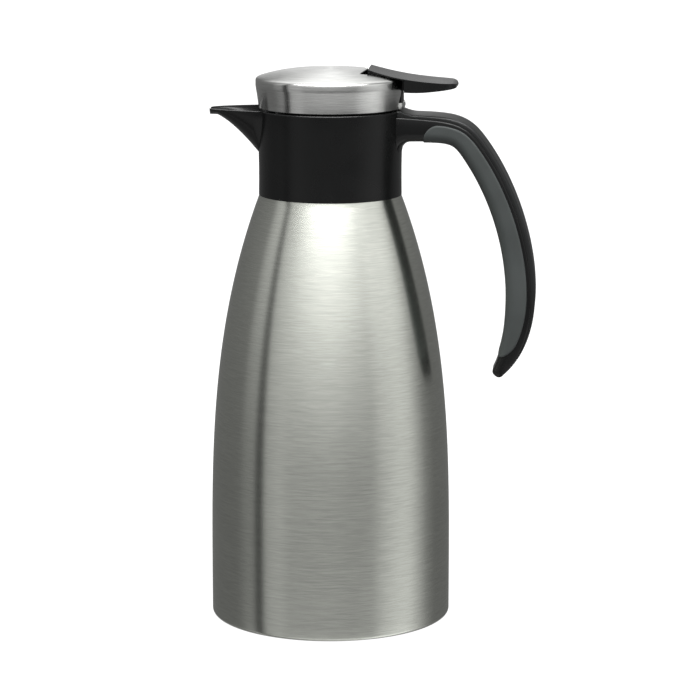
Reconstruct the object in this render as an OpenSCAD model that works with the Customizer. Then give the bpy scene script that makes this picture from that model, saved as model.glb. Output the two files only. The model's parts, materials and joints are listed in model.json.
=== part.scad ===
// Thermal carafe with a press-to-pour screw lid.
// Millimetres, +Z up. The origin is the middle of the base, on the axis of the flask.
// The spout points to -X, and the handle and the pouring lever point to +X.

/* [Flask] */
// Diameter of the straight lower body
body_d = 122.2; // [112.2:1:132.2]
// Height of the flask from the table to its lip
flask_h = 238; // [226:1:250]
// Height of the straight lower wall
straight_h = 20; // [19.5:0.5:30]
// Diameter of the shell where it runs under the collar
shoulder_d = 71.6; // [71:0.1:71.8]
// How late the shell draws in, as a power
taper_power = 2.93; // [2.73:0.05:3.13]
// Radius of the rolled base edge
base_edge_r = 1.8; // [1.5:0.1:3]
// Thickness of the outer steel shell
shell_t = 0.7; // [0.6:0.05:0.9]
// Thickness of the inner steel flask
inner_t = 0.6; // [0.5:0.05:0.7]
// Vacuum gap between the two walls of the body
vacuum_gap = 5; // [4:0.1:7]
// Vacuum gap between the two walls of the neck
neck_gap = 1.1; // [1.1:0.1:1.3]
// Bore of the neck
neck_bore_d = 54; // [53.6:0.1:54.2]
// Length of the neck inside the collar
neck_len = 21; // [20:0.5:23]
// Depth of the rolled groove in the neck
groove_depth = 0.7; // [0.5:0.05:0.7]
// Height of the steel edge above the table
shell_lift = 0.2; // [0.2:0.1:0.6]
// Diameter of the opening in the shell's base
foot_d = 104; // [96:1:108]

/* [Collar and spout] */
// Outer diameter of the collar at its waist
collar_d = 71.9; // [71.8:0.1:72.4]
// Outer diameter of the collar at its rim
rim_d = 73.2; // [72.8:0.1:73.6]
// Height of the collar
collar_h = 43; // [42:0.5:44]
// Thickness of the gasket on the flask's lip
lip_gasket_t = 0.8; // [0.6:0.1:1.2]
// Height of the female thread zone
thread_zone_h = 8; // [7.8:0.1:8.4]
// Inner diameter of the pouring gutter
gutter_d = 66.4; // [65.8:0.1:67]
// Reach of the spout's tip from the axis
spout_reach = 60.6; // [56:0.1:65]
// Width of the spout at the collar
spout_w = 34; // [30:0.5:38]
// Width of the spout at its tip
spout_tip_w = 7; // [5:0.5:9]
// Wall of the spout
spout_wall = 1.7; // [1.4:0.1:2.2]
// Depth of the spout at the collar
spout_depth = 22.2; // [19:0.2:25]

/* [Thread of the lid] */
// Starts of the thread
thread_starts = 4; // [4:1:4]
// Lead of the thread, the lift in one turn
thread_lead = 16; // [15:0.5:17]
// Thickness of a thread ridge
ridge_t = 1.5; // [1.2:0.1:1.5]
// Height of a thread ridge
ridge_h = 1.4; // [1.2:0.05:1.5]
// Angle that a thread ridge covers
ridge_angle = 80; // [60:10:80]

/* [Handle] */
// Width of the handle
handle_w = 26; // [24:0.5:30]
// Thickness of the handle in its plane
handle_t = 14.5; // [14:0.1:16]
// Height of the handle's centre line above the collar's middle
handle_rise = 13; // [12.4:0.1:13.2]
// Distance of the handle's knee from the axis
knee_reach = 75.6; // [73:0.1:80]
// Drop of the knee below the root
knee_drop = 14.5; // [13.5:0.1:16]
// Distance of the handle's lower end from the axis
end_reach = 85.9; // [80:0.1:92]
// Drop of the lower end below the root
end_drop = 123.2; // [110:0.1:134]
// Thickness of the satin back cover
cover_t = 2.4; // [2:0.1:2.8]
// Thickness of the soft grip
grip_t = 2; // [1.6:0.1:2.4]
// How far the grip stands proud
grip_proud = 0.5; // [0.3:0.1:0.8]
// How far the back cover is set in from the frame's sides
cover_inset = 1; // [0.6:0.1:1.4]
// Bare band of the frame between the grip and the back cover
band_w = 1.8; // [1.5:0.1:3]
// Distance between the two handle screws
handle_screw_gap = 12; // [11:0.5:12.5]

/* [Lid cap] */
// Height of the steel cap
cap_h = 19.4; // [19.1:0.1:19.9]
// Gap between the collar's rim and the cap
cap_gap = 1.1; // [0.9:0.1:1.3]
// Diameter of the cap at its lower edge
cap_d = 72; // [71.8:0.1:72.4]
// Widest diameter of the cap
cap_wide_d = 75; // [74.6:0.1:75.6]
// Thickness of the cap's steel
cap_t = 0.6; // [0.5:0.05:0.7]
// Height of the dome above the cap's shoulder
dome_h = 4.2; // [4:0.05:4.3]
// Width of the slot in the cap's rear wall
slot_w = 16.2; // [15.8:0.1:17]
// Height of the steel band that runs on under the slot
slot_band_h = 3; // [2.6:0.1:3.4]

/* [Stopper and valve] */
// Outer diameter of the stopper inside the neck
stopper_d = 52.8; // [52.4:0.1:53]
// Depth of the stopper below the flask's lip
stopper_depth = 12; // [11:0.5:14]
// Inner diameter of the stopper's chamber
chamber_d = 46; // [44:0.5:46.4]
// Diameter of the valve opening
valve_hole_d = 21; // [17:0.5:22]
// Thickness of the stopper's deck with its flange
deck_t = 5.5; // [5.2:0.1:6]
// Number of pouring windows
window_count = 6; // [4:2:8]
// Diameter of the valve rod
rod_d = 4; // [3.5:0.1:4.4]
// Running clearance around the rod and the lever pin
run_gap = 0.06; // [0.03:0.01:0.09]
// Wire of the valve spring
spring_wire = 1.2; // [1:0.1:1.4]
// Mean diameter of the valve spring
spring_d = 15.2; // [13.6:0.1:16.4]
// Working turns of the valve spring
spring_turns = 6; // [5:1:7]

/* [Lever] */
// Distance of the lever pin in from the cap's widest wall
pin_inset = 5.5; // [5.3:0.1:6.1]
// Diameter of the lever pin
pin_d = 3; // [2.6:0.1:3.2]
// Reach of the lever's tail from the axis
lever_reach = 64.4; // [60:0.1:70]
// Width of the lever at its nose
nose_w = 27.6; // [26.8:0.1:29]
// Width of the lever over the rim
lever_w = 33; // [31:0.5:35]
// Diameter of the cross pin in the lever's fork
cross_pin_d = 2.5; // [2:0.1:2.8]

/* [Hidden] */
$fn = 96;

fit_gap = 0.1;                 // between pieces that are assembled and stay put
seat_gap = 0.05;               // around the soft grip and under the back cover
move_gap = 0.3;                // between pieces that move past each other
steps = 24;                    // straight pieces in a drawn outline
beyond = 400;                  // longer than the whole part, for cutting

// Flask
body_r = body_d / 2;
shoulder_r = shoulder_d / 2;
shoulder_z = flask_h - neck_len;
neck_in_r = neck_bore_d / 2;                   // bore of the inner neck
neck_mid_r = neck_in_r + inner_t;              // outside of the inner neck
neck_r = neck_mid_r + neck_gap + shell_t;      // outside of the outer neck
shoulder_edge = 2.5;                           // rounding from the shell's wall into its shoulder
groove_z = shoulder_z + 6.8;                   // lower edge of the neck's groove
groove_h = 3.4;
foot_r = foot_d / 2;
pad_t = shell_lift + shell_t;
inner_floor_z = 9;
inner_corner = 10;                             // rounding of the inner flask's floor
inner_taper_z = shoulder_z - 9;                // where the inner flask turns in to its neck

// Collar
collar_z = shoulder_z + fit_gap;
rim_z = collar_z + collar_h;
collar_r = collar_d / 2;
rim_r = rim_d / 2;
collar_bore_r = neck_r + 0.2;
ledge_z = flask_h + lip_gasket_t;
ledge_t = 1;
thread_z = ledge_z + ledge_t;
gutter_z = thread_z + thread_zone_h;
gutter_r = gutter_d / 2;

// Thread: ridges of the collar over ridges of the stopper, all on the same helix
thread_root_r = neck_in_r + 2.6;               // wall of the female thread
female_crest_r = thread_root_r - ridge_h;
male_root_r = female_crest_r - 0.5;
male_crest_r = thread_root_r - 0.4;
ridge_gap = 0.5;
male_ridge_z = thread_z + 0.6;
female_ridge_z = male_ridge_z + ridge_t + ridge_gap;

// Lid
cap_z = rim_z + cap_gap;
cap_top = cap_z + cap_h;
cap_r = cap_d / 2;
cap_wide_r = cap_wide_d / 2;
cap_wide_z = cap_z + 10.8;
shoulder_cap_z = cap_top - dome_h;             // height of the dome's edge
dome_edge_r = cap_wide_r - 1.5;
dome_power = 2.75;
flange_z = rim_z + 0.5;
flange_t = 1.9;
deck_top = flange_z + flange_t;
deck_z = deck_top - deck_t;
flange_r = cap_r - cap_t - 0.7;
liner_t = 2;
liner_top = deck_top + liner_t;
slot_z = cap_z + slot_band_h;
window_top = deck_z - 0.7;
window_z = gutter_z + 1.5;

// Valve
stopper_r = stopper_d / 2;
chamber_r = chamber_d / 2;
core_z = flask_h - stopper_depth;
seat_spigot_h = 2.6;
seat_lip_h = 0.5;
seat_z = core_z + seat_spigot_h + seat_lip_h;  // sealing edge of the valve seat
hole_r = valve_hole_d / 2;
plug_r = hole_r + 3.5;
valve_gasket_t = 1.25;
plug_z = seat_z + 0.05 + valve_gasket_t;
plug_t = 2.8;
hub_r = 5;
hub_h = 4;
washer_t = 0.8;
rod_r = rod_d / 2;
spring_z = plug_z + plug_t + washer_t + 0.1;
spring_top = deck_z - 0.1;
gasket_groove_z = core_z + 4.5;
gasket_groove_h = 4;
gasket_groove_depth = 1.5;
bush_r = 4.4;
seal_shelf = 1.4;

// Lever
pivot_reach = cap_wide_r - pin_inset;          // distance of the lever pin from the axis
pivot_z = cap_z + 9.3;
pin_r = pin_d / 2;
lever_gap = 0.5;                               // lever's side play in the slot
web_w = slot_w - 2 * lever_gap;
ear_t = 2.7;
ear_in = slot_w / 2 + 0.8;
nose_reach = 19.7;
nose_top = cap_top + 0.5;
tail_top = cap_top - 6.2;
tail_bottom = cap_top - 8.7;
rear_plane = cap_wide_r + 0.5;                 // where the lever's deep tail starts
skin_t = 0.65;                                 // lever's skin over the dome
arm_h = 5.2;
fork_in = 3.6;
fork_t = 2.4;
cross_r = cross_pin_d / 2;
rod_top = pivot_z + 2.2;

// Handle
handle_root_z = collar_z + collar_h / 2 + handle_rise;
tenon_w = 18;
tenon_h = 6.4;
tenon_reach = 48;
screw_z = handle_root_z - 0.7;
screw_r = 1.45;
screw_head_r = 3.2;
screw_head_h = 2.6;
screw_seat = tenon_reach + 8.5;

steel = [0.78, 0.78, 0.77];
dark_steel = [0.5, 0.5, 0.52];
black = [0.12, 0.12, 0.13];
satin = [0.25, 0.25, 0.26];
grip_grey = [0.3, 0.32, 0.32];
rubber = [0.2, 0.2, 0.2];
clear_silicone = [0.85, 0.85, 0.8];

// ---------- helpers ----------

// Outer radius of the shell at height z
function shell_r(z) = z <= straight_h ? body_r
    : body_r - (body_r - shoulder_r) * pow((z - straight_h) / (shoulder_z - straight_h), taper_power);

// Points of an arc from angle a0 to a1 in n steps
function arc(cx, cy, r, a0, a1, n) =
    [for (i = [0:n]) let (a = a0 + (a1 - a0) * i / n) [cx + r * cos(a), cy + r * sin(a)]];

// The drawn part of the shell's outline, moved in by off, up to height top
function draw_in(off, top) =
    [for (i = [0:steps]) let (z = straight_h + (top - straight_h) * i / steps) [shell_r(z) - off, z]];

function reversed(v) = [for (i = [len(v) - 1:-1:0]) v[i]];

// Point of a cubic Bezier curve
function bez(p, t) = pow(1 - t, 3) * p[0] + 3 * t * pow(1 - t, 2) * p[1]
    + 3 * t * t * (1 - t) * p[2] + pow(t, 3) * p[3];
function bez_dir(p, t) = let (d = pow(1 - t, 2) * (p[1] - p[0]) + 2 * t * (1 - t) * (p[2] - p[1])
    + t * t * (p[3] - p[2])) d / norm(d);

// Closed loft through rings of equal length. Point k of a ring pairs with its mirror point,
// so the flat ends are closed by strips between the two halves of the ring.
module loft(rings) {
    n = len(rings[0]);
    m = n / 2;
    last = len(rings) - 1;
    function cap_faces(base, turn) = [for (k = [0:m - 2])
        let (a = base + k, b = base + k + 1, c = base + n - 2 - k, d = base + n - 1 - k)
        each turn ? [[c, b, a], [d, c, a]] : [[a, b, c], [a, c, d]]];
    sides = [for (i = [0:last - 1], k = [0:n - 1])
        let (a = i * n + k, b = i * n + (k + 1) % n, c = a + n, d = b + n)
        each [[a, b, c], [b, d, c]]];
    polyhedron([for (r = rings, p = r) p], concat(sides, cap_faces(0, true), cap_faces(last * n, false)));
}

// ---------- flask ----------

// Shell outline from its foot to its lip, moved in by off
function shell_outline(off) = concat(
    [[foot_r, shell_lift + off]],
    arc(body_r - base_edge_r, shell_lift + base_edge_r, base_edge_r - off, -90, 0, 6),
    draw_in(off, shoulder_z),
    arc(shoulder_r - shoulder_edge, shoulder_z, shoulder_edge - off, 15, 90, 5),
    [[neck_r + 1.4, shoulder_z + shoulder_edge + 0.8 - off],
     [neck_r - off, shoulder_z + shoulder_edge + 2],
     [neck_r - off, groove_z - groove_depth],
     [neck_r - groove_depth - off, groove_z],
     [neck_r - groove_depth - off, groove_z + groove_h],
     [neck_r - off, groove_z + groove_h + groove_depth],
     [neck_r - off, flask_h - inner_t]]);

module outer_shell() {
    color(steel) rotate_extrude()
        polygon(concat(shell_outline(0), reversed(shell_outline(shell_t))));
}

// Outline of the inner flask from the middle of its floor to its lip, moved in by off
function inner_outline(off) = let (gap = shell_t + vacuum_gap + off, r = body_r - gap) concat(
    [[0, inner_floor_z + off]],
    arc(r - inner_corner + off, inner_floor_z + inner_corner, inner_corner - off, -90, 0, 6),
    draw_in(gap, inner_taper_z),
    [[neck_mid_r + 1.6 - off, shoulder_z - 0.5],
     [neck_mid_r - off, shoulder_z + 2],
     [neck_mid_r - off, flask_h - inner_t]]);

module inner_flask() {
    color(dark_steel) rotate_extrude()
        polygon(concat(inner_outline(0), [[neck_r, flask_h - inner_t], [neck_r, flask_h]],
            [[neck_in_r, flask_h]], reversed(inner_outline(inner_t))));
}

module base_plate() {
    color(steel) translate([0, 0, pad_t]) difference() {
        cylinder(h = shell_t, r = foot_r + 3);
        translate([0, 0, -1]) cylinder(h = 3, r = 1.2);
    }
}

module base_pad() {
    color(rubber) cylinder(h = pad_t, r = foot_r - 0.5);
}

module getter() {
    color(dark_steel) translate([foot_r / 2, 0, pad_t + shell_t]) difference() {
        cylinder(h = 2.5, r = 7);
        translate([0, 0, 1]) cylinder(h = 3, r = 5.5);
    }
}

module vacuum_plug() {
    color(dark_steel) translate([0, 0, pad_t + shell_t]) rotate_extrude()
        polygon([[0, 0], [3.5, 0], [3, 0.9], [1.8, 1.4], [0, 1.5]]);
}

// ---------- collar ----------

// One thread ridge on the helix: it starts at angle a and height z, between two radii
module ridge(a, z, r_in, r_out) {
    n = 8;
    loft([for (i = [0:n])
        let (t = ridge_angle * i / n, rise = thread_lead * t / 360, c = cos(a + t), s = sin(a + t))
        [[r_in * c, r_in * s, z + rise], [r_out * c, r_out * s, z + rise],
         [r_out * c, r_out * s, z + rise + ridge_t], [r_in * c, r_in * s, z + rise + ridge_t]]]);
}

// Ring of a spout section at distance x: half width w, from the rim down to z0
function spout_ring(x, w, z0, n = 11) =
    [for (i = [0:n]) let (a = 180 * i / n) [-x, w * cos(a), rim_z - (rim_z - z0) * pow(sin(a), 1.15)]];

spout_start = 30;                              // the lofts begin inside the collar
spout_under = 1.8;                             // the underside's curve ends this far below the rim
spout_tip_h = 3.2;                             // height of the tip's front edge
spout_floor_drop = 1.5;                        // the channel's floor at the tip, under the rim
function spout_share(x) = max(0, min(1, (x - collar_r) / (spout_reach - collar_r)));
function spout_half(x) = spout_tip_w / 2 + (spout_w - spout_tip_w) / 2 * sqrt(1 - spout_share(x));
function spout_bottom(x) = min(rim_z - spout_tip_h,
    rim_z - spout_under - (spout_depth - spout_under) * pow(1 - spout_share(x), 1.5));
function spout_floor(x) = rim_z - spout_floor_drop
    - (rim_z - spout_floor_drop - gutter_z - 0.4) * pow(1 - spout_share(x), 1.3);

// Distances from the tip back to the start, closer together near the tip
spout_stations = [for (i = [0:14]) spout_reach - (spout_reach - spout_start) * pow(i / 14, 1.6)];

module spout_outside() {
    loft([for (x = spout_stations) spout_ring(x, spout_half(x), spout_bottom(x))]);
}

module spout_channel() {
    top = rim_z + 6;
    loft([for (x = concat([spout_reach + 1], spout_stations)) let (w = spout_half(x) - spout_wall)
        concat([[-x, w, top]], spout_ring(x, w, spout_floor(x)), [[-x, -w, top]])]);
}

module collar_body() {
    rotate_extrude() polygon(concat(
        [[collar_r + 0.1, collar_z], [collar_r, collar_z + 8], [collar_r, collar_z + 15],
         [collar_r + 0.2, collar_z + 24], [rim_r - 0.05, rim_z - 1], [rim_r - 0.2, rim_z - 0.3],
         [rim_r - 0.6, rim_z], [gutter_r + 1.2, rim_z], [gutter_r, rim_z - 1.2], [gutter_r, gutter_z],
         [thread_root_r, gutter_z], [thread_root_r, thread_z], [female_crest_r, thread_z],
         [female_crest_r, ledge_z], [collar_bore_r, ledge_z],
         [collar_bore_r, groove_z + groove_h - 0.1], [collar_bore_r + 1.6, groove_z + groove_h - 0.1],
         [collar_bore_r + 1.6, groove_z + 0.1], [collar_bore_r, groove_z + 0.1],
         [collar_bore_r, shoulder_z + shoulder_edge + 2.2],
         [neck_r + 1.4, shoulder_z + shoulder_edge + 1]],
        reversed(arc(shoulder_r - shoulder_edge, shoulder_z, shoulder_edge + fit_gap, 15, 90, 5))));
}

module collar() {
    color(black) union() {
        difference() {
            union() {
                collar_body();
                difference() {
                    spout_outside();
                    cylinder(h = beyond, r = collar_r - 1);
                }
            }
            spout_channel();
        }
        difference() {
            translate([collar_r - 2, -tenon_w / 2, handle_root_z - 0.8 - tenon_h / 2])
                cube([tenon_reach - collar_r + 2, tenon_w, tenon_h]);
            for (side = [-1, 1])
                translate([collar_r + 1.5, side * handle_screw_gap / 2, screw_z]) rotate([0, 90, 0])
                    cylinder(h = beyond, r = screw_r + 0.02);
        }
        for (k = [0:thread_starts - 1])
            ridge(k * 360 / thread_starts, female_ridge_z, female_crest_r, thread_root_r + 0.4);
    }
}

module neck_gasket() {
    color(clear_silicone) translate([0, 0, flask_h]) difference() {
        cylinder(h = lip_gasket_t, r = neck_r - 0.1);
        translate([0, 0, -1]) cylinder(h = 3, r = neck_in_r + 0.3);
    }
}

module collar_ring() {
    color(black) rotate([0, 0, 10]) translate([0, 0, groove_z + 0.1]) rotate_extrude(angle = 340)
        translate([neck_r - groove_depth + 0.05, 0]) square([groove_depth + 1.7, groove_h - 0.2]);
}

// ---------- handle ----------

knee_dir = [0.55, -0.835];
end_dir = [-0.592, -0.806];
handle_root = [collar_r, handle_root_z];
handle_knee = [knee_reach, handle_root_z - knee_drop];
handle_end = [end_reach, handle_root_z - end_drop];
bend_span = knee_reach - collar_r;             // the curves' pulls follow these two spans
fall_span = end_drop - knee_drop;
upper_run = [handle_root, handle_root + [0.71 * bend_span, 0],
    handle_knee - 0.442 * bend_span * knee_dir, handle_knee];
lower_run = [handle_knee, handle_knee + 0.355 * fall_span * knee_dir,
    handle_end - 0.302 * fall_span * end_dir, handle_end];
tip_len = 0.24 * handle_t;                     // length of the rounded free end
narrow_from = 1.6;                             // station where the handle starts to taper

// Centre line of the handle: s is 0 at the root, 1 at the knee, 2 at the lower end, 3 at the tip
function handle_at(s) = s <= 1 ? bez(upper_run, s)
    : s <= 2 ? bez(lower_run, s - 1) : handle_end + end_dir * tip_len * (s - 2);
function handle_dir(s) = s <= 1 ? bez_dir(upper_run, s) : bez_dir(lower_run, min(1, s - 1));
// How far station s is on from the start of the taper
function narrowing(s) = max(0, min(s, 2) - narrow_from);
// Half thickness: slimmest in the bend, and tapering to the free end
function handle_half(s) = handle_t / 2 * (0.87 + 0.07 * pow(max(0, 1 - max(0, s) / 0.6), 2)
    + 0.13 * pow(max(0, min(s, 1.5)) / 1.5, 2.2) - 3.7 * pow(narrowing(s), 2));
// The back cover is thin at the root, thins out again and ends before the handle does
cover_end = 1.9;
function cover_at(s) = s > cover_end ? 0
    : cover_t * (1 - 0.5 * pow(max(0, 1 - max(0, s) / 0.7), 2) - 0.75 * pow(max(0, s - 1.4) / 0.5, 2));
function tip_share(s) = s <= 2 ? 1 : sqrt(max(0.02, 1 - pow(s - 2, 2)));
// Share of the full width at station s
function width_share(s) = (1 - 1.5 * pow(narrowing(s), 2)) * (0.3 + 0.7 * tip_share(s));

// A ring of the handle: section points [y, n] at station s, n outwards from the centre line
function handle_ring(s, pts) = let (p = handle_at(s), d = handle_dir(s), f = tip_share(s), w = width_share(s))
    [for (q = pts) [p[0] - d[1] * q[1] * f, q[0] * w, p[1] + d[0] * q[1] * f]];

function mirrored(right) = concat(right, [for (q = reversed(right)) [-q[0], q[1]]]);

half_w = handle_w / 2;
edge_r = 4.5;                                  // rounding of the handle's inner edges
grip_from = 0.155;                             // stations where the grip starts and ends
grip_to = 1.93;
root_start = -0.06;                            // the handle begins inside the round of the collar
grip_sunk = grip_t - grip_proud;               // depth of the frame's recess for the grip
function band_edge(s) = handle_half(s) - cover_t - band_w;

// Section of the frame at station s, with the recess for the grip where sunk is above 0
function frame_section(s, sunk) =
    let (h = handle_half(s), top = h - cover_at(s), e = s > cover_end ? 1.6 : 0.5, band = band_edge(s))
    mirrored(concat([[half_w - e, top], [half_w, top - e], [half_w, band]],
        [sunk > 0 ? [half_w - sunk, band] : [half_w, band - 0.4]],
        arc(half_w - sunk - edge_r, -h + sunk + edge_r, edge_r, 0, -90, 4)));
function cover_section(s) =
    let (h = handle_half(s), r = min(1.4, 0.6 * cover_at(s)), side = half_w - cover_inset)
    mirrored(concat([[side, h - cover_at(s) + seat_gap]], arc(side - r, h - r, r, 0, 90, 4)));
function grip_section(s) = let (h = handle_half(s), band = band_edge(s) - seat_gap,
    outer = concat([[half_w + grip_proud, band]],
        arc(half_w - edge_r, -h + edge_r, edge_r + grip_proud, 0, -90, 4)),
    inner = concat([[half_w - grip_sunk + seat_gap, band]],
        arc(half_w - grip_sunk - edge_r, -h + grip_sunk + edge_r, edge_r + seat_gap, 0, -90, 4)))
    concat(outer, [for (q = reversed(outer)) [-q[0], q[1]]],
        [for (q = inner) [-q[0], q[1]]], reversed(inner));

// The frame, its cover and its grip share their stations, so that their facets run side by side
end_step = 0.004;                              // a step in the section is this long
grip_stations = concat([for (i = [0:23]) grip_from + (cover_end - grip_from) * i / 23],
    [cover_end + end_step, grip_to]);
frame_stations = concat([for (i = [0:4]) root_start + (grip_from - end_step - root_start) * i / 4],
    grip_stations, [grip_to + end_step, 2, 2.35, 2.6, 2.8, 2.92, 3]);

root_fillet_r = 6.1;                           // fillet under the handle, at the collar

module handle_frame() {
    color(black) difference() {
        union() {
            loft([for (s = frame_stations)
                handle_ring(s, frame_section(s, s >= grip_from && s <= grip_to ? grip_sunk : 0))]);
            translate([0, 0, handle_root_z - handle_half(0) + 0.1]) across(2 * (half_w - edge_r))
                polygon(concat([[rim_r - 1, 1], [rim_r - 1, -root_fillet_r]],
                    arc(rim_r + 0.2 + root_fillet_r, -root_fillet_r, root_fillet_r, 180, 90, 6),
                    [[rim_r + 0.2 + root_fillet_r, 1]]));
        }
        cylinder(h = beyond, r = rim_r + 0.1);
        translate([0, -tenon_w / 2 - 0.1, handle_root_z - 0.8 - tenon_h / 2 - 0.1])
            cube([tenon_reach + 0.2, tenon_w + 0.2, tenon_h + 0.2]);
        for (side = [-1, 1]) translate([0, side * handle_screw_gap / 2, screw_z]) rotate([0, 90, 0]) {
            cylinder(h = screw_seat + 1, r = screw_r + 0.4);
            translate([0, 0, screw_seat]) cylinder(h = beyond, r = screw_head_r + 0.35);
        }
    }
}

module handle_back_cover() {
    color(satin) difference() {
        loft([for (s = frame_stations) if (s <= cover_end) handle_ring(s, cover_section(s))]);
        cylinder(h = beyond, r = rim_r + 0.1);
    }
}

module handle_grip() {
    trim = end_step / 2;
    color(grip_grey) loft([for (i = grip_stations)
        let (s = min(grip_to - trim, max(grip_from + trim, i))) handle_ring(s, grip_section(s))]);
}

module handle_screws() {
    color(steel) for (side = [-1, 1])
        translate([0, side * handle_screw_gap / 2, screw_z]) rotate([0, 90, 0]) difference() {
            union() {
                translate([0, 0, collar_r + 3]) cylinder(h = screw_seat - collar_r - 3, r = screw_r);
                translate([0, 0, screw_seat]) cylinder(h = screw_head_h, r = screw_head_r);
            }
            translate([0, 0, screw_seat + screw_head_h - 1.4]) cylinder(h = 2, r = 1.5, $fn = 6);
        }
}

// ---------- stopper ----------

module stopper_gasket() {
    z0 = gasket_groove_z + move_gap;
    h = gasket_groove_h - 2 * move_gap;
    r0 = stopper_r - gasket_groove_depth + move_gap;
    r1 = neck_in_r - move_gap;
    color(clear_silicone) rotate_extrude()
        polygon([[r0, z0], [r1 - 0.5, z0], [r1, z0 + 0.6], [r1 - 0.5, z0 + h / 2], [r1, z0 + h - 0.6],
            [r1 - 0.5, z0 + h], [r0, z0 + h]]);
}

// Radius of the cap's wall at height z on the outside
function cap_wall_r(z) = cap_r + (cap_wide_r - cap_r) * pow((z - cap_z) / (cap_wide_z - cap_z), 1.15);
function dome_z(r) = cap_top - dome_h * pow(r / dome_edge_r, dome_power);

// Outline of the cap's outer face from its lower edge to its middle, moved in by off
function cap_outline(off) = concat(
    [for (i = [0:8]) let (z = cap_z + (cap_wide_z - cap_z) * i / 8) [cap_wall_r(z) - off, z]],
    [[cap_wide_r - off, cap_wide_z + 2.3]],
    arc(cap_wide_r - 1.7, cap_wide_z + 2.6, 1.7 - off, 10, 75, 4),
    [for (i = [0:14]) let (r = (dome_edge_r - 0.2) * (1 - i / 14)) [r, dome_z(r) - off]]);

// Plan of the opening in the dome: its front corners show beside the lever's nose, and from there
// it narrows under the lever to the slot at the rim
module cap_opening() {
    w = slot_w / 2;
    side = [[nose_reach - 3.3, nose_w / 2 + 3.6], [pivot_reach - 0.5, nose_w / 2 + 0.2],
        [rear_plane - 1.3, nose_w / 2 - 2.4], [rear_plane - 1.3, w], [rear_plane + 8, w]];
    polygon(concat([[nose_reach - 1.1, 0]], side, reversed([for (q = side) [q[0], -q[1]]])));
}

module lid_cap() {
    color(steel) difference() {
        union() {
            rotate_extrude() polygon(concat(cap_outline(0), reversed(cap_outline(cap_t))));
            // the band swells behind the slot
            rotate([0, 0, -13]) rotate_extrude(angle = 26)
                polygon([[cap_r - 0.4, cap_z], [cap_r + 1.6, cap_z + 0.2], [cap_r + 1.9, cap_z + 1.4],
                    [cap_r + 1.6, slot_z - 0.1], [cap_r - 0.2, slot_z - 0.1]]);
        }
        translate([0, 0, shoulder_cap_z - 1.1]) linear_extrude(cap_h) cap_opening();
        translate([nose_reach, -slot_w / 2, slot_z]) cube([beyond, slot_w, cap_h]);
    }
}

// Space inside the cap, kept clear of its wall by the fit gap
module inside_cap() {
    rotate_extrude() polygon(concat([[0, cap_z]], cap_outline(cap_t + fit_gap)));
}

module lid_liner() {
    color(black) difference() {
        union() {
            intersection() {
                inside_cap();
                union() {
                    translate([0, 0, deck_top]) cylinder(h = liner_t, r = cap_wide_r);
                    difference() {
                        translate([0, 0, deck_top]) cylinder(h = cap_wide_z - deck_top, r = cap_wide_r);
                        cylinder(h = beyond, r = cap_r - cap_t - 2.6);
                        translate([0, -ear_in, liner_top]) cube([cap_wide_r, 2 * ear_in, cap_h]);
                    }
                    for (side = [-1, 1])
                        translate([pivot_reach - 3.8, side * (ear_in + ear_t / 2) - ear_t / 2, liner_top - 1])
                            cube([7, ear_t, pivot_z + 3.5 - liner_top + 1]);
                }
            }
            // black back wall that fills the slot under the lever
            intersection() {
                translate([pivot_reach + 3.6, 0.3 - slot_w / 2, slot_z + 0.1])
                    cube([8, slot_w - 0.6, pivot_z - 2 - slot_z]);
                cylinder(h = beyond, r = cap_wide_r - 0.5);
            }
            translate([pivot_reach - 1, 0.3 - slot_w / 2, liner_top - 1])
                cube([cap_r - cap_t - pivot_reach - 0.3, slot_w - 0.6, 1.2]);
        }
        translate([0, 0, deck_top - 1]) cylinder(h = liner_t + 2, r = bush_r + 2.4);
        for (k = [0:2]) rotate([0, 0, 60 + 120 * k]) translate([lid_screw_reach, 0, deck_top - 1])
            cylinder(h = liner_t + 2, r = lid_screw_r + 0.15);
        translate([pivot_reach, 0, pivot_z]) rotate([90, 0, 0])
            cylinder(h = beyond, r = pin_r + 0.02, center = true);
    }
}

lid_screw_reach = 17;
lid_screw_r = 1.45;

module lid_screws() {
    color(steel) for (k = [0:2]) rotate([0, 0, 60 + 120 * k]) translate([lid_screw_reach, 0, 0])
        difference() {
            union() {
                translate([0, 0, deck_z + seal_shelf + 0.4])
                    cylinder(h = liner_top - deck_z - seal_shelf - 0.4, r = lid_screw_r);
                translate([0, 0, liner_top]) cylinder(h = 1.8, r = 2.75);
            }
            translate([0, 0, liner_top + 0.8]) cylinder(h = 2, r = 1.3, $fn = 6);
        }
}

module stopper_core() {
    neck_top = ledge_z + 0.2;
    color(black) union() {
        difference() {
            rotate_extrude() polygon([[chamber_r, core_z], [stopper_r, core_z],
                [stopper_r, gasket_groove_z], [stopper_r - gasket_groove_depth, gasket_groove_z],
                [stopper_r - gasket_groove_depth, gasket_groove_z + gasket_groove_h],
                [stopper_r, gasket_groove_z + gasket_groove_h], [stopper_r, neck_top],
                [male_root_r, neck_top + 1], [male_root_r, flange_z], [flange_r, flange_z],
                [flange_r, deck_top], [bush_r + 0.02, deck_top], [bush_r + 0.02, deck_z + seal_shelf],
                [rod_r + 0.5, deck_z + seal_shelf], [rod_r + 0.5, deck_z], [chamber_r, deck_z]]);
            for (k = [0:window_count - 1]) rotate([0, 0, 360 * k / window_count])
                translate([chamber_r - 6, -9, window_z]) cube([16, 18, window_top - window_z]);
            for (k = [0:2]) rotate([0, 0, 60 + 120 * k])
                translate([lid_screw_reach, 0, deck_z + seal_shelf])
                    cylinder(h = beyond, r = lid_screw_r + 0.02);
        }
        for (k = [0:thread_starts - 1])
            ridge(k * 360 / thread_starts, male_ridge_z, male_root_r - 0.4, male_crest_r);
    }
}

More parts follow.
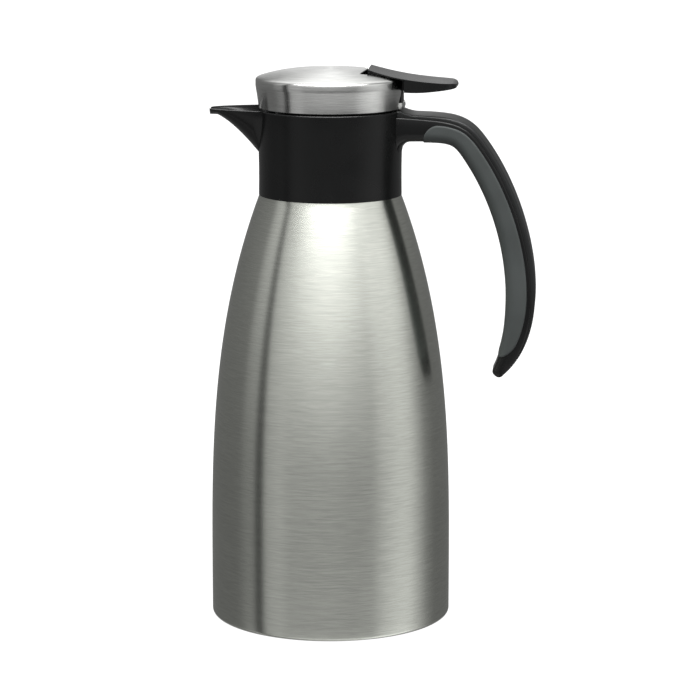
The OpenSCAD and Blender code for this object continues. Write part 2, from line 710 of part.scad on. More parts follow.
module valve_seat() {
    color(clear_silicone) rotate_extrude()
        polygon([[hole_r, core_z - 1.6], [stopper_r - 0.2, core_z - 1.6], [stopper_r - 0.2, core_z],
            [chamber_r - 0.05, core_z], [chamber_r - 0.05, core_z + seat_spigot_h],
            [hole_r + 2, core_z + seat_spigot_h], [hole_r + 1.2, seat_z], [hole_r + 0.4, seat_z],
            [hole_r, seat_z - 0.4]]);
}

module rod_seal() {
    color(rubber) translate([0, 0, deck_z + seal_shelf + 1.05]) rotate_extrude()
        translate([(bush_r + rod_r + move_gap) / 2, 0]) circle(r = 1);
}

module rod_bush() {
    low = deck_z + seal_shelf + 2.15;
    color(clear_silicone) rotate_extrude()
        polygon([[rod_r + run_gap, low], [bush_r, low], [bush_r, deck_top], [bush_r + 2, deck_top],
            [bush_r + 2, deck_top + 0.8], [rod_r + run_gap, deck_top + 0.8]]);
}

// ---------- valve ----------

module valve_plug() {
    color(black) rotate_extrude()
        polygon([[rod_r + 0.02, plug_z], [plug_r, plug_z], [plug_r, plug_z + plug_t - 0.8],
            [plug_r - 0.8, plug_z + plug_t], [hub_r, plug_z + plug_t], [hub_r, plug_z + plug_t + hub_h],
            [rod_r + 0.02, plug_z + plug_t + hub_h]]);
}

module valve_gasket() {
    color(rubber) translate([0, 0, seat_z + 0.05]) difference() {
        cylinder(h = valve_gasket_t, r = plug_r);
        translate([0, 0, -1]) cylinder(h = 4, r = rod_r + 1);
    }
}

module plug_washer() {
    color(steel) translate([0, 0, seat_z + 0.05 - washer_t]) difference() {
        cylinder(h = washer_t, r = hole_r - 1);
        translate([0, 0, -1]) cylinder(h = 4, r = rod_r + 0.05);
    }
}

module rod_clip() {
    color(dark_steel) translate([0, 0, seat_z + 0.05 - 2 * washer_t]) rotate([0, 0, 30])
        rotate_extrude(angle = 300) translate([rod_r - 0.35, 0]) square([2.4, washer_t]);
}

module valve_rod() {
    low = seat_z - 2.2;
    groove = seat_z + 0.05 - 2 * washer_t;
    color(steel) difference() {
        rotate_extrude()
            polygon([[0, low], [rod_r - 0.4, low], [rod_r, low + 0.3], [rod_r, groove],
                [rod_r - 0.4, groove], [rod_r - 0.4, groove + washer_t], [rod_r, groove + washer_t],
                [rod_r, rod_top], [0, rod_top]]);
        cross_hole();
    }
}

// Hole for the cross pin, in the rod and in its head
module cross_hole() {
    translate([0, 0, pivot_z]) rotate([90, 0, 0]) cylinder(h = beyond, r = cross_r + 0.02, center = true);
}

module cross_head() {
    low = pivot_z - 3.3;
    color(black) difference() {
        translate([-3.4, -3.2, low]) cube([6.8, 6.4, 6.3]);
        translate([0, 0, low - 1]) cylinder(h = rod_top + 0.02 - low + 1, r = rod_r + 0.02);
        cross_hole();
    }
}

module cross_pin() {
    color(steel) translate([0, 0, pivot_z]) rotate([90, 0, 0])
        cylinder(h = 2 * (fork_in + fork_t) + 1, r = cross_r, center = true);
}

module spring_washer() {
    color(steel) translate([0, 0, plug_z + plug_t]) difference() {
        cylinder(h = washer_t, r = spring_d / 2 + 2);
        translate([0, 0, -1]) cylinder(h = 4, r = hub_r + 0.15);
    }
}

// Height of the wire's middle after a share t of the coil: half a turn lies flat at each end
function coil_z(t) = let (n = spring_turns + 1, low = spring_z + spring_wire / 2,
    span = spring_top - spring_z - spring_wire, a = 0.5 / n)
    low + span * min(1, max(0, (t - a) / (1 - 2 * a)));

module valve_spring() {
    n = spring_turns + 1;
    rings = 10;
    pitch = (spring_top - spring_z - spring_wire) / spring_turns;
    echo(least_gap_between_coils = pitch - spring_wire);
    color(steel) loft([for (i = [0:n * rings])
        let (t = i / (n * rings), a = 360 * n * t)
        [for (k = [0:5]) let (b = 60 * k + 30, r = spring_d / 2 + spring_wire / 2 * cos(b))
            [r * cos(a), r * sin(a), coil_z(t) + spring_wire / 2 * sin(b)]]]);
}

// ---------- lever ----------

module lever_pin() {
    color(steel) translate([pivot_reach, 0, pivot_z]) rotate([90, 0, 0])
        cylinder(h = 2 * (ear_in + ear_t), r = pin_r, center = true);
}

lever_top = [[nose_reach, nose_top], [nose_reach + 10.3, nose_top - 3.1], [nose_reach + 20.3, nose_top - 5.7],
    [lever_reach - 2.6, tail_top]];
lever_bottom = [[lever_reach - 0.9, tail_bottom], [lever_reach - 8.4, tail_bottom - 1],
    [lever_reach - 18.4, tail_bottom - 2.6], [rear_plane, tail_bottom - 1.8]];
function lever_top_pts() = [for (i = [0:14]) bez(lever_top, i / 14)];

// Half width of the lever's plan at distance x
function lever_half(x) = let (s = min(1, max(0, (x - nose_reach) / (38 - nose_reach))),
    e = max(0, (x - 48) / (lever_reach - 48)))
    (nose_w / 2 + (lever_w - nose_w) / 2 * sin(90 * s)) * sqrt(max(0.0, 1 - 0.12 * e - 0.88 * pow(e, 7)));

module lever_plan() {
    xs = concat([for (i = [0:9]) nose_reach + (48 - nose_reach) * i / 9],
        [for (i = [1:12]) lever_reach - (lever_reach - 48) * pow(1 - i / 12, 1.6)]);
    side = [for (x = xs) [x, lever_half(x)]];
    polygon(concat([for (q = side) [q[0], -q[1]]], reversed([for (i = [0:len(side) - 2]) side[i]])));
}

// A profile in the plane of the lever, given width w across it
module across(w) {
    translate([0, w / 2, 0]) rotate([90, 0, 0]) linear_extrude(w) children();
}

module lever() {
    top = lever_top_pts();
    n = len(top) - 1;
    skin_low = [for (i = [n:-1:0]) [top[i][0], top[i][1] - skin_t]];
    color(black) difference() {
        union() {
            intersection() {
                translate([0, 0, pivot_z - 20]) linear_extrude(40) lever_plan();
                union() {
                    across(2 * lever_w) polygon(concat(top, skin_low));
                    across(2 * lever_w) polygon(concat(
                        [for (p = top) if (p[0] > rear_plane) p],
                        [[lever_reach - 0.9, tail_top - 0.5], [lever_reach, tail_top - 1.4]],
                        [for (i = [0:8]) bez(lever_bottom, i / 8)],
                        [[rear_plane, tail_top + 1]]));
                }
            }
            // block under the nose, inside the opening of the dome
            across(nose_w - 1) polygon(concat(
                [for (p = top) if (p[0] < pivot_reach - 1) p],
                [[pivot_reach - 2.5, shoulder_cap_z + 0.4], [nose_reach + 1.6, shoulder_cap_z + 0.4],
                 [nose_reach, nose_top - 1.6]]));
            // web through the slot, from the pin to the tail
            across(web_w) polygon(concat(
                [for (p = top) if (p[0] > nose_reach + 4 && p[0] < rear_plane + 3) p],
                [[rear_plane + 3, tail_bottom - 2.3], [rear_plane, tail_bottom - 1.8],
                 [pivot_reach + 3.2, pivot_z - 0.6]],
                arc(pivot_reach, pivot_z, 3.2, -10, -170, 8),
                [[nose_reach + 4, pivot_z]]));
            // arms of the fork, forward to the cross pin
            for (side = [-1, 1]) translate([0, side * (fork_in + fork_t / 2), 0]) across(fork_t)
                polygon([[-4.4, pivot_z - arm_h / 2], [-4.4, pivot_z + arm_h / 2],
                    [nose_reach + 6, pivot_z + arm_h / 2 + 1.5], [nose_reach + 6, pivot_z - arm_h / 2]]);
        }
        translate([pivot_reach, 0, pivot_z]) rotate([90, 0, 0])
            cylinder(h = beyond, r = pin_r + run_gap, center = true);
        // slot for the cross pin
        translate([0, 0, pivot_z]) rotate([90, 0, 0]) {
            for (x = [-1, 1]) translate([x, 0, 0]) cylinder(h = lever_w, r = cross_r + move_gap, center = true);
            cube([2, 2 * (cross_r + move_gap), lever_w], center = true);
        }
    }
}

// ---------- assembly ----------

outer_shell();
inner_flask();
base_plate();
base_pad();
getter();
vacuum_plug();
collar();
neck_gasket();
collar_ring();
handle_frame();
handle_back_cover();
handle_grip();
handle_screws();
stopper_gasket();
lid_cap();
lid_liner();
stopper_core();
lid_screws();
valve_seat();
rod_bush();
rod_seal();
lever_pin();
valve_plug();
valve_gasket();
plug_washer();
rod_clip();
valve_rod();
cross_head();
cross_pin();
spring_washer();
valve_spring();
lever();
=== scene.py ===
# %% [markdown]
# # A thermal carafe with a press-to-pour lid
# The steel flask, its black collar with the spout, the curved handle and the steel lid are
# dressed here for a studio picture. The solids come from CAD and are the fixed frame. The
# parts that show get finer skins of the same size, and everything gets its finish.
#
# First the frame is loaded.

# %% Load the frame
import json
import math
import bmesh
import bpy
from mathutils import Matrix, Vector


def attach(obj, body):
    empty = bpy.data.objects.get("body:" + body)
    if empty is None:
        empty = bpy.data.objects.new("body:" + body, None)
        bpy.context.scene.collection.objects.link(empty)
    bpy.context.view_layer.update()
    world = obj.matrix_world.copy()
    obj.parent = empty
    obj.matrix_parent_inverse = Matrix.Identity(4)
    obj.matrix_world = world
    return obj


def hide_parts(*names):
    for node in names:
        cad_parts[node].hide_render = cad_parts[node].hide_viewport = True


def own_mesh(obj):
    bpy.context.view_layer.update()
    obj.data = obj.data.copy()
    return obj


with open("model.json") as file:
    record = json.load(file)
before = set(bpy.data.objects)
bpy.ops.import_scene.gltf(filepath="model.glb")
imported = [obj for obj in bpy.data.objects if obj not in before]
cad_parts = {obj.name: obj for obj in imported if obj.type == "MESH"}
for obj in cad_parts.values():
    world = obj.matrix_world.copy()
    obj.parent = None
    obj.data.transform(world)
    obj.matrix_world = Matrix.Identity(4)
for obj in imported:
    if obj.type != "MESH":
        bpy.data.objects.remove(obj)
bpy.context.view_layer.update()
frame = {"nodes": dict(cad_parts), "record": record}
MM = 0.001

# %% [markdown]
# ## Camera
# The picture was taken with a long lens from a metre and a half away, a little above the
# lid and turned 5 degrees towards the handle. A camera could be aimed with a Track To
# constraint. Here its axes are worked out from three small angles, because then the
# verticals lean exactly as they do in the photograph.

# %% Place the camera
AZIMUTH = math.radians(5)
DISTANCE, EYE_HEIGHT = 1451.5 * MM, 420 * MM
YAW, PITCH, ROLL = 0.006845, 0.1928, 0.0002
LENS, SENSOR = 149.1, 36.0

right0 = Vector((math.cos(AZIMUTH), math.sin(AZIMUTH), 0))
ahead0 = Vector((-math.sin(AZIMUTH), math.cos(AZIMUTH), 0))
up0 = Vector((0, 0, 1))
right = right0 * math.cos(YAW) - ahead0 * math.sin(YAW)
level = right0 * math.sin(YAW) + ahead0 * math.cos(YAW)
ahead = level * math.cos(PITCH) - up0 * math.sin(PITCH)
up = level * math.sin(PITCH) + up0 * math.cos(PITCH)
right, up = (right * math.cos(ROLL) + up * math.sin(ROLL),
             up * math.cos(ROLL) - right * math.sin(ROLL))

camera_data = bpy.data.cameras.new("camera")
camera_data.lens = LENS
camera_data.sensor_width = SENSOR
camera = bpy.data.objects.new("camera", camera_data)
place = Matrix((right, up, -ahead)).transposed().to_4x4()
place.translation = -ahead0 * DISTANCE + up0 * EYE_HEIGHT
camera.matrix_world = place
bpy.context.scene.collection.objects.link(camera)
bpy.context.scene.camera = camera
bpy.context.scene.view_settings.view_transform = "Standard"
print("camera at", tuple(round(c, 3) for c in camera.location))

# %% [markdown]
# ## Shader arithmetic
# A finish needs sums such as "twice this noise plus one". Each is a Math node, which is
# long to write out. This small class wraps a socket, so that + - and * on it add the nodes.
# Its method `node` adds any other node and wraps its first output, or the one asked for.

# %% A socket that can be calculated with
class Wire:
    def __init__(self, tree, socket=None):
        self.tree, self.socket = tree, socket

    def node(self, kind, inputs=(), out=0, stops=(), **settings):
        made = self.tree.nodes.new(kind)
        for key, value in settings.items():
            setattr(made, key, value)
        if stops:
            band = made.color_ramp.elements
            while len(band) < len(stops):
                band.new(0.5)
            for element, (where, value) in zip(band, stops):
                element.position, element.color = where, (value, value, value, 1)
        for key, value in dict(inputs).items():
            if isinstance(value, Wire):
                self.tree.links.new(value.socket, made.inputs[key])
            else:
                made.inputs[key].default_value = value
        return Wire(self.tree, made.outputs[out] if len(made.outputs) else None)

    def math(self, operation, a, b, clamp=False):
        return self.node("ShaderNodeMath", {0: a, 1: b}, operation=operation, use_clamp=clamp)

    def __add__(self, other): return self.math("ADD", self, other)
    def __radd__(self, other): return self.math("ADD", other, self)
    def __sub__(self, other): return self.math("SUBTRACT", self, other)
    def __rsub__(self, other): return self.math("SUBTRACT", other, self)
    def __mul__(self, other): return self.math("MULTIPLY", self, other)
    def __rmul__(self, other): return self.math("MULTIPLY", other, self)

    def smooth(self, low, high, to_low=0.0, to_high=1.0):
        """Goes softly from one value to another while this wire goes from low to high."""
        return self.node("ShaderNodeMapRange", {0: self, 1: low, 2: high, 3: to_low, 4: to_high},
                         interpolation_type="SMOOTHSTEP")

    def ramp(self, stops):
        """Looks this wire up in a table of (place, value) stops, joined by straight lines."""
        return self.node("ShaderNodeValToRGB", {0: self}, stops=stops)

# %% [markdown]
# ## The studio
# Polished steel shows mostly the room. The room of the photograph can be read off the
# flask: a tall soft light in front that gets brighter upwards, a bright strip to the
# right, a thin black flag to the left, grey sides and a white wall behind. Cards around
# the object would do this too, but they would stand in the way of the other views. So the
# world itself is painted by direction. It starts as a table of light levels, in which the
# floor, the foot of the wall and its top each have their own.

# %% List the studio's light levels
# Each row: azimuth from the camera in degrees, then floor, low on the wall, high on it.
STUDIO = [
    (-180, 0.30, 0.46, 1.15), (-175, 0.30, 0.32, 0.52), (-169, 0.28, 0.16, 0.22),
    (-156, 0.20, 0.14, 0.18), (-100, 0.20, 0.12, 0.26), (-92, 0.45, 0.14, 0.54),
    (-80, 0.45, 0.14, 0.66), (-78, 0.01, 0.0, 0.50), (-75, 0.01, 0.0, 0.10),
    (-70, 0.01, 0.0, 0.10), (-67, 0.50, 0.32, 0.58), (-50, 0.54, 0.31, 0.76),
    (-40, 0.60, 0.14, 0.95), (-20, 0.66, 0.04, 1.15), (0, 0.66, 0.03, 1.18),
    (20, 0.64, 0.03, 1.05), (40, 0.70, 0.08, 0.90), (52, 0.95, 0.26, 1.08),
    (72, 1.30, 0.47, 1.12), (84, 1.30, 0.50, 0.98), (94, 0.85, 0.38, 0.62),
    (106, 0.50, 0.20, 0.30), (120, 0.20, 0.13, 0.26), (156, 0.20, 0.14, 0.18),
    (169, 0.28, 0.16, 0.22), (175, 0.30, 0.32, 0.52), (180, 0.30, 0.46, 1.15)]
print("studio of", len(STUDIO), "light levels")

# %% [markdown]
# Each column of the table becomes a colour ramp over the turn from the camera. The height
# of the direction then goes over from floor to wall and from wall to ceiling. The ceiling
# gets darker to the sides and overhead, and a lamp hangs in it in front of the carafe,
# for the bright patch on the dome. The camera itself sees plain white.

# %% Build the studio world
FULL_TURN = 360.0
LOW_Z, HIGH_Z = math.sin(math.radians(-13)), math.sin(math.radians(24))
CEILING, CEILING_FALL, CEILING_LEAST, OVERHEAD = 1.35, 2.6, 0.35, 0.62
# Heights of the direction, 0 at the horizon and 1 overhead, between which it goes over.
FLOOR_TO_WALL, WALL_TO_CEILING, TO_OVERHEAD = (-0.41, -0.35), (0.38, 0.72), (0.80, 0.97)
LAMP, LAMP_HEIGHT, LAMP_FRONT = 12.0, (0.68, 0.84), (0.05, 0.25)

world = bpy.data.worlds.new("studio")
bpy.context.scene.world = world
world.use_nodes = True
world.node_tree.nodes.clear()
sky = Wire(world.node_tree)
direction = sky.node("ShaderNodeTexCoord", out="Generated")
x, y, z = (sky.node("ShaderNodeSeparateXYZ", {0: direction}, out=axis) for axis in "XYZ")
to_right = x * right0.x + y * right0.y
to_camera = x * -ahead0.x + y * -ahead0.y
turn = sky.math("ARCTAN2", to_right, to_camera) * (1 / (2 * math.pi)) + 0.5
ground, low_light, high_light = (
    turn.ramp([((row[0] + FULL_TURN / 2) / FULL_TURN, row[column]) for row in STUDIO])
    for column in (1, 2, 3))
height = sky.math("MULTIPLY", z - LOW_Z, 1 / (HIGH_Z - LOW_Z), clamp=True)
walls = low_light + (high_light - low_light) * height
walls = ground + (walls - ground) * z.smooth(*FLOOR_TO_WALL)
ceiling = sky.math("MAXIMUM", CEILING - to_right * to_right * CEILING_FALL, CEILING_LEAST)
ceiling = ceiling * z.smooth(*TO_OVERHEAD, 1.0, OVERHEAD)
lamp = z.smooth(*LAMP_HEIGHT) * to_camera.smooth(*LAMP_FRONT)
light = walls + (ceiling - walls) * z.smooth(*WALL_TO_CEILING) + lamp * LAMP
room = sky.node("ShaderNodeBackground", {"Color": light, "Strength": 1.0})
white = sky.node("ShaderNodeBackground", {"Color": (1, 1, 1, 1), "Strength": 1.0})
seen = sky.node("ShaderNodeLightPath", out="Is Camera Ray")
shown = sky.node("ShaderNodeMixShader", {0: seen, 1: room, 2: white})
sky.node("ShaderNodeOutputWorld", {"Surface": shown})
print("world of", len(world.node_tree.nodes), "nodes")

# %% [markdown]
# ## The floor
# The carafe stands on white paper. A plain white plane would turn grey at the far end, so
# the floor glows almost white by itself for the camera. The rest of its shade is real
# light, which keeps a soft shadow. The steel mirrors the painted studio instead, which
# has the floor's grey in it.

# %% Lay the floor
FLOOR_SIZE, PAPER, GLOW, GLOW_SHARE = 6.0, 0.9, 1.06, 0.85

floor_mesh = bmesh.new()
bmesh.ops.create_grid(floor_mesh, x_segments=1, y_segments=1, size=FLOOR_SIZE)
floor_data = bpy.data.meshes.new("floor")
floor_mesh.to_mesh(floor_data)
floor_mesh.free()
floor = bpy.data.objects.new("floor", floor_data)
bpy.context.scene.collection.objects.link(floor)
paper = bpy.data.materials.new("white_paper")
paper.use_nodes = True
paper.node_tree.nodes.clear()
page = Wire(paper.node_tree)
shade = page.node("ShaderNodeBsdfDiffuse", {"Color": (PAPER, PAPER, PAPER, 1)})
glow = page.node("ShaderNodeEmission", {"Color": (1, 1, 1, 1), "Strength": GLOW})
both = page.node("ShaderNodeMixShader", {0: GLOW_SHARE, 1: shade, 2: glow})
page.node("ShaderNodeOutputMaterial", {"Surface": both})
floor_data.materials.append(paper)
floor.visible_glossy = False
floor.visible_shadow = False
floor.visible_diffuse = False
print("floor of", 2 * FLOOR_SIZE, "metres")

# %% [markdown]
# ## Finishes
# Every finish is a Principled shader with something fine in it, because no real surface
# is even. What stays the same all over is set on the shader's own socket. Only colour,
# roughness and bump are fed by textures, which are noise on Object coordinates here, so
# that they stay on the piece when it moves.

# %% Helpers for finishes
def finish(name, color, roughness, metallic=0.0, **constants):
    """A new material with a Principled shader. Returns the material, a Wire and the shader."""
    material = bpy.data.materials.new(name)
    material.use_nodes = True
    shader = material.node_tree.nodes["Principled BSDF"]
    shader.inputs["Base Color"].default_value = (*color, 1)
    shader.inputs["Roughness"].default_value = roughness
    shader.inputs["Metallic"].default_value = metallic
    for key, value in constants.items():
        shader.inputs[key.replace("_", " ")].default_value = value
    return material, Wire(material.node_tree), shader


def feed(wire, shader, socket):
    wire.tree.links.new(wire.socket, shader.inputs[socket])


def noise(wire, scale, detail=2.0, roughness=0.5):
    """Noise that is stretched by a scale of its own along each axis."""
    place = wire.node("ShaderNodeTexCoord", out="Object")
    stretched = wire.node("ShaderNodeMapping", {"Vector": place, "Scale": scale})
    return wire.node("ShaderNodeTexNoise", {"Vector": stretched, "Scale": 1.0, "Detail": detail,
                                            "Roughness": roughness})


def tint(wire, factor, color, dark, pale):
    """The colour, going from a darker to a paler shade of it with a factor."""
    low, high = ([min(1, c * shade) for c in color] + [1] for shade in (dark, pale))
    return wire.node("ShaderNodeMix", {0: factor, 6: low, 7: high}, out=2, data_type="RGBA")

# %% [markdown]
# The flask and the side of the lid were polished with a belt while they turned, so fine
# scratches run round them. They smear each reflection up and down but not sideways,
# which makes the tall stripes of light. Anisotropy does this: the shader's own tangent
# runs round the vertical axis, and a quarter turn puts the smear upright. The scratches
# themselves are noise that is squeezed flat in height.

# %% Brushed steel
QUARTER_TURN = 0.25
SMEAR = 0.06               # how far the scratches change the roughness
SCRATCH_DEPTH = 0.00003
ROUND_SCRATCHES = [(110, 110, 2200), (45, 45, 3600)]
CLOUDS, CLOUD_SHARE = (18, 18, 30), 0.15
STEEL_DARK, STEEL_PALE = 0.88, 1.08


def brushed(name, color, roughness, anisotropy, scales, strength):
    material, wire, shader = finish(name, color, roughness, 1.0, Anisotropic=anisotropy,
                                    Anisotropic_Rotation=QUARTER_TURN)
    scratches = [noise(wire, scale, detail=3.0, roughness=0.7) for scale in scales]
    mixed = scratches[0] * 0.6 + scratches[1] * 0.4
    tone = mixed * (1 - CLOUD_SHARE) + noise(wire, CLOUDS) * CLOUD_SHARE
    feed(tint(wire, tone.smooth(0.32, 0.68), color, STEEL_DARK, STEEL_PALE), shader, "Base Color")
    feed(roughness - SMEAR / 2 + mixed * SMEAR, shader, "Roughness")
    feed(wire.node("ShaderNodeBump", {"Strength": strength, "Distance": SCRATCH_DEPTH,
                                      "Height": mixed}), shader, "Normal")
    return material


body_steel = brushed("body_steel", (0.725, 0.742, 0.680), 0.24, 0.78, ROUND_SCRATCHES, 0.35)
cap_steel = brushed("cap_steel", (0.79, 0.795, 0.775), 0.20, 0.75, ROUND_SCRATCHES, 0.35)
print("made", body_steel.name, "and", cap_steel.name)

# %% [markdown]
# The black parts are moulded in a satin plastic, the grip in a softer grey one. A fine
# even grain and slow changes of gloss keep them from looking like paint.

# %% Plastics and rubber
GRAIN_DEPTH = 0.00002
GLOSS_SPREAD = 0.10        # how far the roughness wanders
PATCHES = (40, 40, 40)
PLASTIC_DARK, PLASTIC_PALE = 0.9, 1.12


def moulded(name, color, roughness, grain=900.0, strength=0.25, specular=0.5):
    material, wire, shader = finish(name, color, roughness, Specular_IOR_Level=specular)
    fine = noise(wire, (grain, grain, grain))
    slow = noise(wire, PATCHES)
    feed(tint(wire, slow.smooth(0.3, 0.7), color, PLASTIC_DARK, PLASTIC_PALE), shader,
         "Base Color")
    feed(roughness - GLOSS_SPREAD / 2 + slow * GLOSS_SPREAD, shader, "Roughness")
    feed(wire.node("ShaderNodeBump", {"Strength": strength, "Distance": GRAIN_DEPTH,
                                      "Height": fine}), shader, "Normal")
    return material


black_plastic = moulded("black_plastic", (0.0048, 0.005, 0.005), 0.27, specular=0.30)
satin_cover = moulded("satin_cover", (0.010, 0.0105, 0.0105), 0.36, specular=0.28)
soft_grip = moulded("soft_grip", (0.042, 0.047, 0.046), 0.60, 1400.0, 0.4, specular=0.3)
pad_rubber = moulded("pad_rubber", (0.03, 0.03, 0.03), 0.8, 1100.0, specular=0.3)
silicone = moulded("silicone", (0.62, 0.62, 0.58), 0.5, specular=0.4)
valve_plastic = moulded("valve_plastic", (0.72, 0.72, 0.68), 0.45)
print("made 6 plastics")

# %% [markdown]
# Steel that isn't polished for show, such as the inner flask and the pins, is drawn or
# turned. Drawn steel gets softer marks, turned steel fine rings. With these, every CAD
# node gets the finish that its slot names.

# %% Plain steels, and a finish for every node
DRAWN, TURNED = [(40, 40, 900), (90, 90, 300)], [(60, 60, 3000), (90, 90, 1500)]
inner_steel = brushed("inner_steel", (0.6, 0.6, 0.6), 0.36, 0.3, DRAWN, 0.2)
pin_steel = brushed("pin_steel", (0.66, 0.66, 0.66), 0.24, 0.2, TURNED, 0.2)

FINISHES = {"brushed_steel": body_steel, "inner_steel": inner_steel, "pin_steel": pin_steel,
            "black_plastic": black_plastic, "satin_cover": satin_cover, "soft_grip": soft_grip,
            "pad_rubber": pad_rubber, "silicone": silicone, "valve_plastic": valve_plastic}
for part in frame["record"]["subparts"]:
    mesh = frame["nodes"][part["node"]].data
    mesh.materials.clear()
    mesh.materials.append(FINISHES[part["material_slot"]])
print("finished", len(frame["nodes"]), "CAD nodes")

# %% [markdown]
# ## Tools for skins
# Round pieces are an outline spun about the upright axis. Swept pieces, such as the
# handle and the spout, are a skin through rings: a flat grid is wrapped so that each row
# of its points becomes one ring.

# %% Spin and skin
def arc(cx, cy, r, start, end, count):
    """Points of an arc between two angles in degrees."""
    turns = [math.radians(start + (end - start) * i / count) for i in range(count + 1)]
    return [(cx + r * math.cos(a), cy + r * math.sin(a)) for a in turns]


def spun(outline, steps=192):
    """Turns a closed outline of (radius, height) in millimetres once round the axis."""
    mesh = bmesh.new()
    points = [mesh.verts.new((r * MM, 0, z * MM)) for r, z in outline]
    lines = [mesh.edges.new(pair) for pair in zip(points, points[1:] + points[:1])]
    bmesh.ops.spin(mesh, geom=points + lines, cent=(0, 0, 0), axis=(0, 0, 1), dvec=(0, 0, 0),
                   angle=2 * math.pi, steps=steps, use_merge=True)
    return mesh


def skinned(rings):
    """Closed skin through rings of (x, y, z) in millimetres, all of the same length."""
    around, along = len(rings[0]), len(rings) - 1
    mesh = bmesh.new()
    bmesh.ops.create_grid(mesh, x_segments=around, y_segments=along, size=1)
    for vert in mesh.verts:
        column = round((vert.co.x + 1) / 2 * around) % around
        row = round((vert.co.y + 1) / 2 * along)
        vert.co = Vector(rings[row][column]) * MM
    bmesh.ops.remove_doubles(mesh, verts=mesh.verts, dist=1e-7)
    bmesh.ops.holes_fill(mesh, edges=[e for e in mesh.edges if e.is_boundary], sides=0)
    return mesh

# %% [markdown]
# Both end as one closed mesh with smooth shading, which stays sharp where faces meet at
# more than a given angle. Closed shapes can then be added to each other or cut out of
# each other with a Boolean, and a Bevel modifier breaks the edges that are left.

# %% Finish, join and round a mesh
def settle(mesh, sharp=35):
    """Merges what lies double, turns the faces out and shades them smooth up to an angle."""
    bmesh.ops.remove_doubles(mesh, verts=mesh.verts, dist=1e-6)
    bmesh.ops.recalc_face_normals(mesh, faces=mesh.faces)
    for face in mesh.faces:
        face.smooth = True
    for edge in mesh.edges:
        edge.smooth = edge.calc_face_angle(0) < math.radians(sharp)


def new_object(name, mesh, sharp=35):
    settle(mesh, sharp)
    data = bpy.data.meshes.new(name)
    mesh.to_mesh(data)
    mesh.free()
    made = bpy.data.objects.new(name, data)
    bpy.context.scene.collection.objects.link(made)
    return made


def joined(target, tool, operation):
    """Adds a closed object to another, or takes it away, and removes it."""
    step = target.modifiers.new(operation, "BOOLEAN")
    step.operation, step.object, step.solver = operation, tool, "EXACT"
    bpy.context.view_layer.update()
    after = target.evaluated_get(bpy.context.evaluated_depsgraph_get())
    result = bpy.data.meshes.new_from_object(after)
    target.modifiers.clear()
    old, target.data = target.data, result
    bpy.data.meshes.remove(old)
    bpy.data.objects.remove(tool)


def rounded_edges(piece, width, angle=40, segments=2):
    """Breaks the sharp edges of a piece a little, as every real edge is."""
    edge = piece.modifiers.new("edges", "BEVEL")
    edge.width, edge.segments, edge.limit_method = width * MM, segments, "ANGLE"
    edge.angle_limit = math.radians(angle)
    edge.harden_normals = False

# %% [markdown]
# A finished skin takes the place of its CAD node, which is hidden. It rides on that node's body,
# so that it moves with the joints, and gets the finish that its slot names, or one that is given.

# %% Put a skin in place
def dress(piece, body, node, slot, material=None):
    piece.data.materials.clear()
    piece.data.materials.append(material or FINISHES[slot])
    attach(piece, body)
    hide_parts(node)
    print(piece.name, "has", len(piece.data.polygons), "faces")

# %% [markdown]
# ## The flask's shell
# The outer wall is one drawn sheet: a straight foot with a rolled edge, and above it a
# long curve that draws in faster and faster up to the collar. A lathe shape like this is
# an outline and a spin. The sheet has its real thickness, so the outline is closed: it
# goes up the outside and comes back down the inside.

# %% Spin the shell
BODY_R, SHOULDER_R, NECK_R = 61.1, 35.8, 29.4
STRAIGHT_Z, SHOULDER_Z, FLASK_TOP = 20.0, 217.0, 238.0
TAPER = 2.93                         # how late the curve draws in
FOOT_R, FOOT_Z, BASE_EDGE, SHEET = 52.0, 0.2, 1.8, 0.7
BEND_R = 2.5                         # where the shell turns in under the collar
NECK_FOOT = NECK_R + 1.4             # where the shoulder turns up into the neck


def shell_r(z):
    share = max(0.0, (z - STRAIGHT_Z) / (SHOULDER_Z - STRAIGHT_Z))
    return BODY_R - (BODY_R - SHOULDER_R) * share ** TAPER


def shell_outline(inset, steps=72):
    """One side of the sheet from the foot to the neck, moved in by an inset."""
    heights = [STRAIGHT_Z + (SHOULDER_Z - STRAIGHT_Z) * i / steps for i in range(steps + 1)]
    return ([(FOOT_R, FOOT_Z + inset)]
            + arc(BODY_R - BASE_EDGE, FOOT_Z + BASE_EDGE, BASE_EDGE - inset, -90, 0, 10)
            + [(BODY_R - inset, 8), (BODY_R - inset, 14)]
            + [(shell_r(z) - inset, z) for z in heights]
            + arc(SHOULDER_R - BEND_R, SHOULDER_Z, BEND_R - inset, 15, 90, 6)
            + [(NECK_FOOT, SHOULDER_Z + 3.2 - inset), (NECK_R - inset, SHOULDER_Z + 4.5),
               (NECK_R - inset, FLASK_TOP - 0.6)])


shell = new_object("shell_skin", spun(shell_outline(0) + shell_outline(SHEET)[::-1]))
dress(shell, "flask", "outer_shell", "brushed_steel")

# %% [markdown]
# ## The collar and its spout
# The collar is another spun ring. On the outside it widens a little towards its rim. On
# the inside it has a gutter under the rim, and a bore with a thread for the lid. Its foot
# follows the shell's shoulder, a hair's breadth above it.

# %% Spin the collar
COLLAR_Z, RIM_Z, COLLAR_R, RIM_R, RIM_EDGE = 217.1, 260.1, 35.95, 36.6, 0.6
GUTTER_R, GUTTER_Z, THREAD_Z, LEDGE_Z = 33.2, 247.8, 239.8, 238.8
THREAD_R, CREST_R, BORE_R = 29.6, 28.2, 29.6
